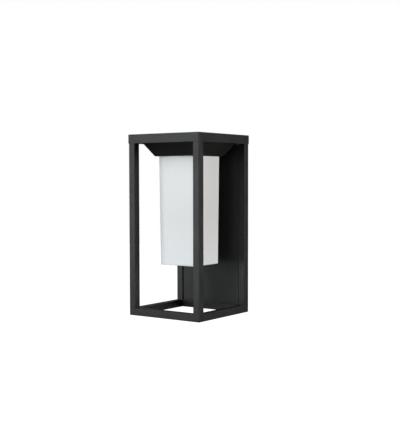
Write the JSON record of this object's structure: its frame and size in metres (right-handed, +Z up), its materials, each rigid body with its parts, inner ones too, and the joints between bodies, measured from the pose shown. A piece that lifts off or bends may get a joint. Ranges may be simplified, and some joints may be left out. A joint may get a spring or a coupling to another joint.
{
  "type": "outdoor wall lantern",
  "caption": "Square cage wall lantern of black tube with a capped top, an inverted pyramid hopper, a hanging opal box diffuser, a screw lamp inside and a wall bracket behind.",
  "frame": {"origin": "middle of the wall bracket's back face, on the wall, half way up the lantern", "axes": "+X to the right seen from the front, +Y into the wall, +Z up"},
  "size_m": [0.14, 0.1393, 0.29],
  "materials": {
    "black_powder_coat": "fine matt texture",
    "satin_black_coat": "satin",
    "black_plastic": "satin",
    "stainless_steel": "satin",
    "zinc_steel": "zinc plated",
    "white_paint": "matt",
    "opal_diffuser": "satin opal",
    "lamp_opal": "satin opal",
    "white_plastic": "satin",
    "porcelain": "glazed",
    "brass": "satin",
    "black_rubber": "matt",
    "white_silicone": "matt",
    "brown_lead": "satin",
    "blue_lead": "satin",
    "earth_lead": "green with a yellow stripe"
  },
  "bodies": {
    "lantern": {"post_front_left": "black_powder_coat", "post_front_right": "black_powder_coat", "post_rear_left": "black_powder_coat", "post_rear_right": "black_powder_coat", "bottom_rail_front": "black_powder_coat", "bottom_rail_rear": "black_powder_coat", "bottom_rail_left": "black_powder_coat", "bottom_rail_right": "black_powder_coat", "top_rail_front": "black_powder_coat", "top_rail_rear": "black_powder_coat", "top_rail_left": "black_powder_coat", "top_rail_right": "black_powder_coat", "top_cap": "black_powder_coat", "hopper": "black_powder_coat", "back_panel": "satin_black_coat", "foot_plug_front_left": "black_plastic", "foot_plug_front_right": "black_plastic", "foot_plug_rear_left": "black_plastic", "foot_plug_rear_right": "black_plastic", "holder_dome": "black_plastic", "holder_skirt": "black_plastic", "lock_screw_left": "stainless_steel", "lock_screw_right": "stainless_steel", "cap_screw_front_left": "stainless_steel", "cap_screw_front_right": "stainless_steel", "cap_screw_rear_left": "stainless_steel", "cap_screw_rear_right": "stainless_steel", "hopper_screw_front_left": "stainless_steel", "hopper_screw_front_right": "stainless_steel", "hopper_screw_rear_left": "stainless_steel", "hopper_screw_rear_right": "stainless_steel", "spring_clip_left": "stainless_steel", "spring_clip_right": "stainless_steel", "wall_bracket": "zinc_steel", "diffuser_collar": "zinc_steel", "tray_screw_front": "zinc_steel", "tray_screw_rear": "zinc_steel", "holder_nipple": "zinc_steel", "nipple_nut": "zinc_steel", "gear_tray": "white_paint", "terminal_block": "white_plastic", "holder_core": "porcelain", "holder_thread_shell": "brass", "holder_contact": "brass", "earth_tag": "brass", "earth_screw": "brass", "cable_membrane": "black_rubber", "rail_grommet": "black_rubber", "diffuser_gasket": "white_silicone", "lead_live": "brown_lead", "lead_neutral": "blue_lead", "lead_earth": "earth_lead"},
    "diffuser": {"diffuser": "opal_diffuser"},
    "lamp_contact": {"lamp_contact": "zinc_steel"},
    "lamp": {"lamp_cap": "stainless_steel", "lamp_insulator": "black_plastic", "lamp_housing": "white_plastic", "lamp_globe": "lamp_opal"}
  },
  "joints": [
    {"name": "diffuser_slide", "type": "slide", "parent": "lantern", "child": "diffuser", "axis": [0, 0, -1], "range_m": [0, 0.272]},
    {"name": "lamp_feed", "type": "slide", "parent": "lantern", "child": "lamp_contact", "axis": [0, 0, -1], "range_m": [0, 0.0182]},
    {"name": "lamp_turn", "type": "hinge", "parent": "lamp_contact", "child": "lamp", "pos_m": [0, -0.0692, 0], "axis": [0, 0, -1], "range_deg": [0, 1800]}
  ],
  "couplings": [
    {"joint": "lamp_feed", "follows": "lamp_turn", "m_per_rad": 0.00057757}
  ]
}
